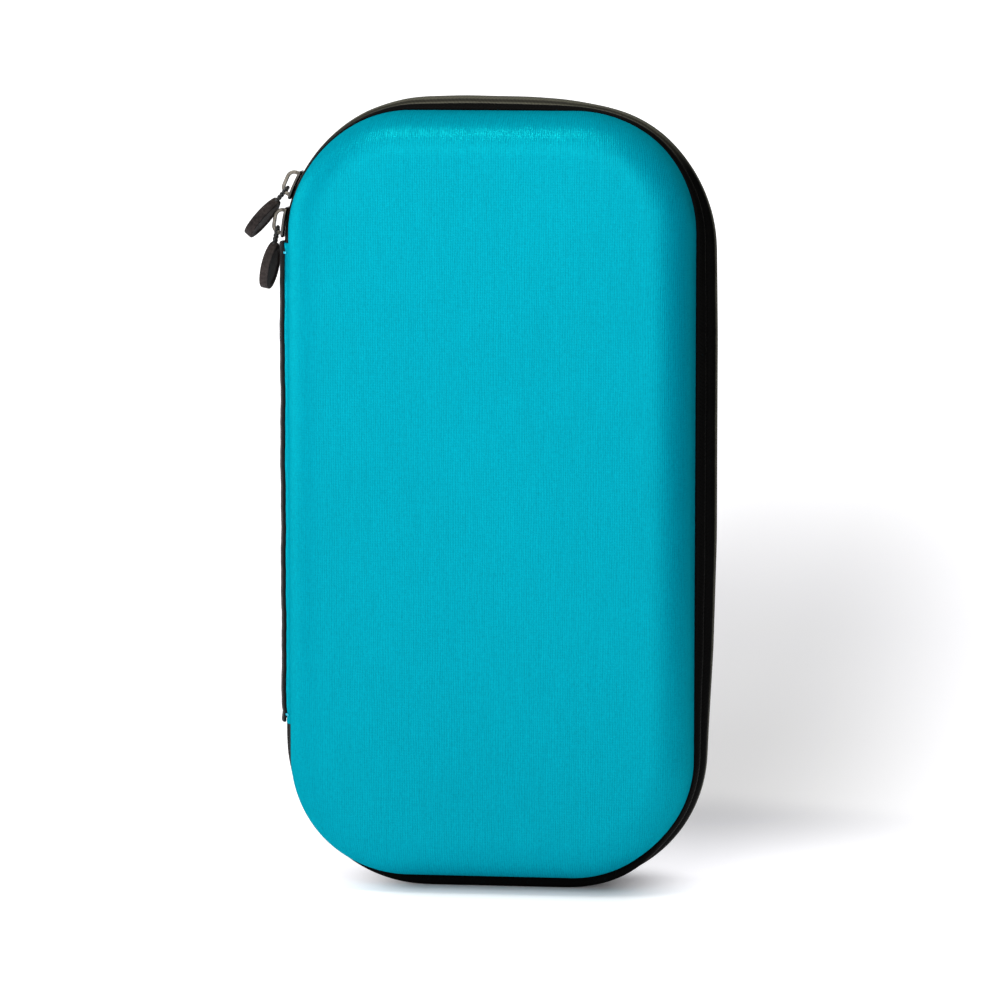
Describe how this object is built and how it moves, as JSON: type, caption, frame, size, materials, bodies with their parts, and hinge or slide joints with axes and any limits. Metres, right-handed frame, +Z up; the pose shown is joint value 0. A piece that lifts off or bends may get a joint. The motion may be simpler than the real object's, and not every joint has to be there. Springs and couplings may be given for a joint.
{
  "type": "stethoscope hard case",
  "caption": "Upright rounded hard case of moulded foam in knit fabric: turquoise lid on a sewn fabric spine, black back, zip band all round, sliders with round rubber pulls.",
  "frame": {"origin": "middle of the level stretch of the zip band that the case stands on, at the parting plane between the shells", "axes": "+Z up along the case's long axis, +X to the right and +Y to the back as seen from the front of the lid"},
  "size_m": [0.1607, 0.056, 0.27],
  "materials": {
    "turquoise_knit": "fine knit laminated to foam, soft sheen",
    "black_knit": "fine knit laminated to foam",
    "lining_knit": "brushed knit lining",
    "foam": "closed-cell foam, pressed to shape",
    "zip_tape": "woven polyester tape",
    "zip_coil": "nylon coil",
    "binding": "ribbed binding tape",
    "black_thread": "polyester thread",
    "turquoise_thread": "polyester thread",
    "slider_metal": "black-nickel plated die casting",
    "bright_metal": "nickel plated, polished",
    "pull_cord": "braided cord",
    "pull_rubber": "moulded rubber, matt",
    "pocket_net": "knitted net",
    "elastic": "woven elastic"
  },
  "bodies": {
    "base": {"rear_fabric_skin": "black_knit", "rear_eva_shell": "foam", "rear_lining": "lining_knit", "rear_zip_tape": "zip_tape", "rear_zip_coil": "zip_coil", "rear_rim_binding": "binding", "rear_seam_thread": "black_thread", "spine_rear_flap": "black_knit", "spine_inner_tape": "binding", "spine_rear_tacks": "black_thread", "retaining_strap": "elastic", "strap_tacks": "black_thread"},
    "lid": {"front_fabric_skin": "turquoise_knit", "front_eva_shell": "foam", "front_lining": "lining_knit", "front_zip_tape": "zip_tape", "front_zip_coil": "zip_coil", "front_rim_binding": "binding", "front_seam_thread": "black_thread", "spine_front_flap": "turquoise_knit", "spine_front_tacks": "turquoise_thread", "pocket_mesh": "pocket_net", "pocket_elastic": "elastic"},
    "upper_slider": {"upper_slider_body": "slider_metal", "upper_slider_crown": "bright_metal"},
    "upper_pull": {"upper_pull_cord": "pull_cord", "upper_pull_disc": "pull_rubber"},
    "lower_slider": {"lower_slider_body": "slider_metal", "lower_slider_crown": "bright_metal"},
    "lower_pull": {"lower_pull_cord": "pull_cord", "lower_pull_disc": "pull_rubber"}
  },
  "joints": [
    {"name": "lid_hinge", "type": "hinge", "parent": "base", "child": "lid", "pos_m": [-0.0795, 0, 0.1375], "axis": [0, 0, -1], "range_deg": [0, 180], "deforming": ["front_zip_tape", "front_zip_coil", "spine_front_flap", "spine_rear_flap", "spine_inner_tape"]},
    {"name": "upper_slider_travel", "type": "hinge", "parent": "base", "child": "upper_slider", "pos_m": [-0.022, 0, 0.2185], "axis": [0, 1, 0], "range_deg": [0, 60], "deforming": ["front_zip_tape", "rear_zip_tape", "front_zip_coil", "rear_zip_coil"]},
    {"name": "upper_pull_swing", "type": "hinge", "parent": "upper_slider", "child": "upper_pull", "pos_m": [-0.07348, 0, 0.23716], "axis": [0, 1, 0], "range_deg": [0, 38]},
    {"name": "lower_slider_travel", "type": "hinge", "parent": "base", "child": "lower_slider", "pos_m": [-0.022, 0, 0.2185], "axis": [0, 1, 0], "range_deg": [-1, 0], "deforming": ["front_zip_tape", "rear_zip_tape", "front_zip_coil", "rear_zip_coil"]},
    {"name": "lower_pull_swing", "type": "hinge", "parent": "lower_slider", "child": "lower_pull", "pos_m": [-0.07626, 0, 0.22336], "axis": [0, -1, 0], "range_deg": [-34, 0]}
  ]
}
